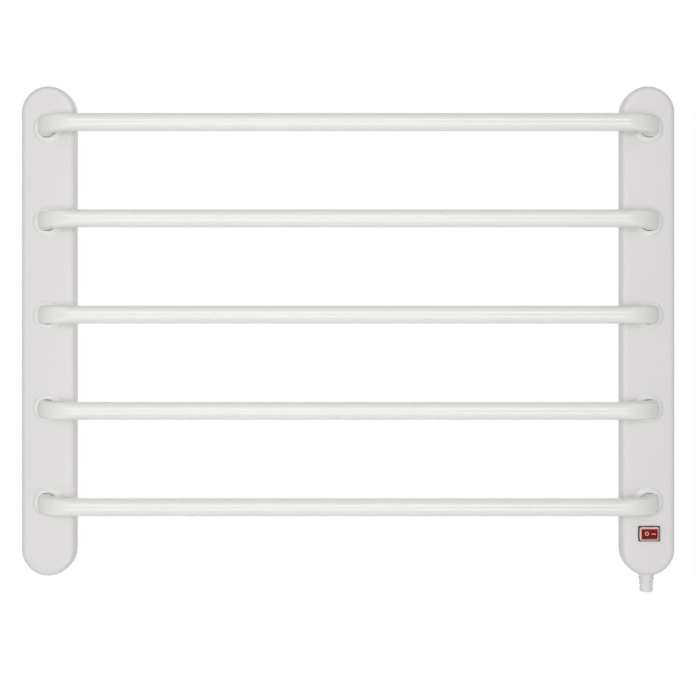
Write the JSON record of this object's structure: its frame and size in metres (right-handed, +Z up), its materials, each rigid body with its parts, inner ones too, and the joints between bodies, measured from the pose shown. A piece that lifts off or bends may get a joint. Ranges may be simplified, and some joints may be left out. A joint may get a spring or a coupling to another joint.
{
  "type": "heated towel rail",
  "caption": "Wall-mounted heated towel rail: bent tubes between two round-ended columns, with a rocker switch and a cord entry on the right column.",
  "frame": {"origin": "on the wall plane, in the middle of the four keyholes of the wall fixing", "axes": "+Z up, +X along the bars towards the column with the switch, +Y into the wall, so the front faces -Y"},
  "size_m": [0.6, 0.0592, 0.4655],
  "materials": {
    "cover": "white moulded ABS, satin gloss",
    "plate": "white moulded plastic",
    "tube": "white powder coat, gloss, on aluminium tube",
    "steel": "zinc-plated steel",
    "bush": "natural nylon",
    "heater": "silicone-insulated resistance wire",
    "neutral_lead": "blue silicone lead",
    "live_lead": "brown silicone lead",
    "cutout": "black phenolic",
    "brass": "tinned brass",
    "bezel": "black nylon",
    "rocker": "translucent red polycarbonate",
    "lamp": "neon lamp glass",
    "clear_cap": "clear soft PVC",
    "boot": "white PVC"
  },
  "bodies": {
    "rail": {"left_cover": "cover", "right_cover": "cover", "left_back_plate": "plate", "right_back_plate": "plate", "bar_1": "tube", "bar_2": "tube", "bar_3": "tube", "bar_4": "tube", "bar_5": "tube", "left_inner_strip": "steel", "left_tube_nuts": "steel", "left_retaining_rings": "steel", "left_strip_screws": "steel", "left_plate_screws": "steel", "right_inner_strip": "steel", "right_tube_nuts": "steel", "right_retaining_rings": "steel", "right_strip_screws": "steel", "right_plate_screws": "steel", "cutout_clip": "steel", "cutout_clip_screws": "steel", "earth_screw": "steel", "cord_clamp_screws": "steel", "left_end_plugs": "bush", "right_end_plugs": "bush", "left_wire_clips": "bush", "right_wire_clips": "bush", "splice_cap": "bush", "cord_clamp": "bush", "heating_wire": "heater", "return_wire": "neutral_lead", "live_wire": "live_lead", "thermal_cutout": "cutout", "earth_tag": "brass", "switch_terminals": "brass", "switch_housing": "bezel", "switch_splash_cap": "clear_cap", "cord_boot": "boot"},
    "rocker": {"switch_rocker": "rocker", "switch_plunger": "bush", "plunger_spring": "steel", "indicator_lamp": "lamp"},
    "blade": {"contact_blade": "brass"}
  },
  "joints": [
    {"name": "rocker_tilt", "type": "hinge", "parent": "rail", "child": "rocker", "pos_m": [0.2755, -0.0192, -0.1925], "axis": [0, 0, 1], "range_deg": [0, 20]},
    {"name": "blade_tilt", "type": "hinge", "parent": "rail", "child": "blade", "pos_m": [0.2755, -0.0137, -0.1925], "axis": [0, 0, 1], "range_deg": [-12, 0]}
  ],
  "couplings": [
    {"joint": "blade_tilt", "follows": "rocker_tilt", "ratio": -0.6}
  ]
}
